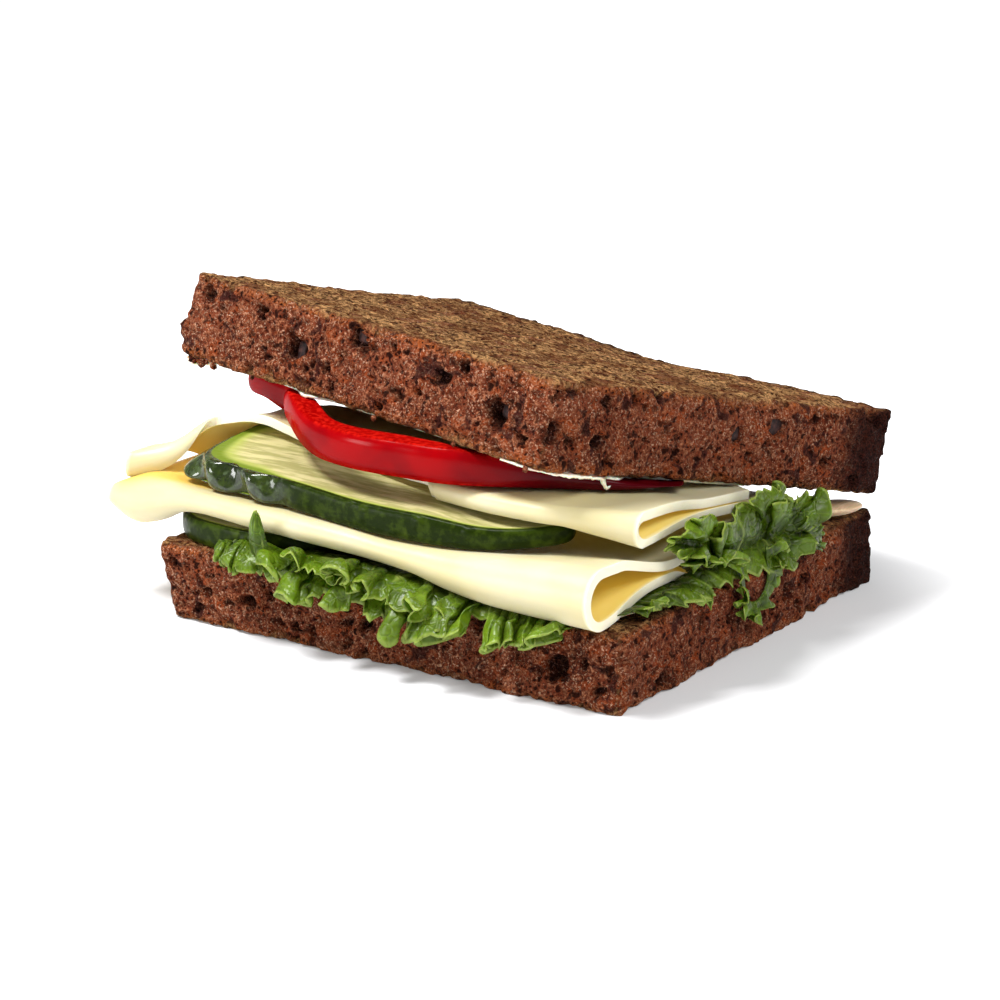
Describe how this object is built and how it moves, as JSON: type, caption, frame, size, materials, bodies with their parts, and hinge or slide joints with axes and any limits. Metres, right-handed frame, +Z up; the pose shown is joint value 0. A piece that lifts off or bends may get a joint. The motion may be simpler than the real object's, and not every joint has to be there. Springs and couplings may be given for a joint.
{
  "type": "sandwich",
  "caption": "Filled dark rye sandwich with folded cheese, cucumber, a pepper ring and frilly lettuce between square slices.",
  "frame": {"origin": "centre of the bottom slice's flat underside, which rests on the table", "axes": "+Z up out of the table, +X along the open front of the sandwich to the right, +Y to the back"},
  "size_m": [0.1307, 0.1121, 0.064],
  "materials": {
    "bread_bottom": "porous dark rye crumb, dry and rough",
    "bread_top": "porous dark rye crumb, dry and rough",
    "cheese_lower": "smooth pale cheese, soft waxy sheen",
    "cheese_upper": "smooth pale cheese, soft waxy sheen",
    "cucumber_lower": "moist cucumber with dark green skin",
    "cucumber_upper": "moist cucumber with dark green skin",
    "pepper_ring": "wet glossy red skin",
    "lettuce_front": "crisp frilly leaf, satin",
    "lettuce_right": "crisp frilly leaf, satin",
    "rib_front": "pale leaf rib, satin",
    "rib_right": "pale leaf rib, satin"
  },
  "bodies": {
    "root": {"bread_bottom": "bread_bottom", "bread_top": "bread_top", "cheese_lower": "cheese_lower", "cheese_upper": "cheese_upper", "cucumber_lower": "cucumber_lower", "cucumber_upper": "cucumber_upper", "pepper_ring": "pepper_ring", "lettuce_front": "lettuce_front", "lettuce_right": "lettuce_right", "rib_front": "rib_front", "rib_right": "rib_right"}
  },
  "joints": []
}
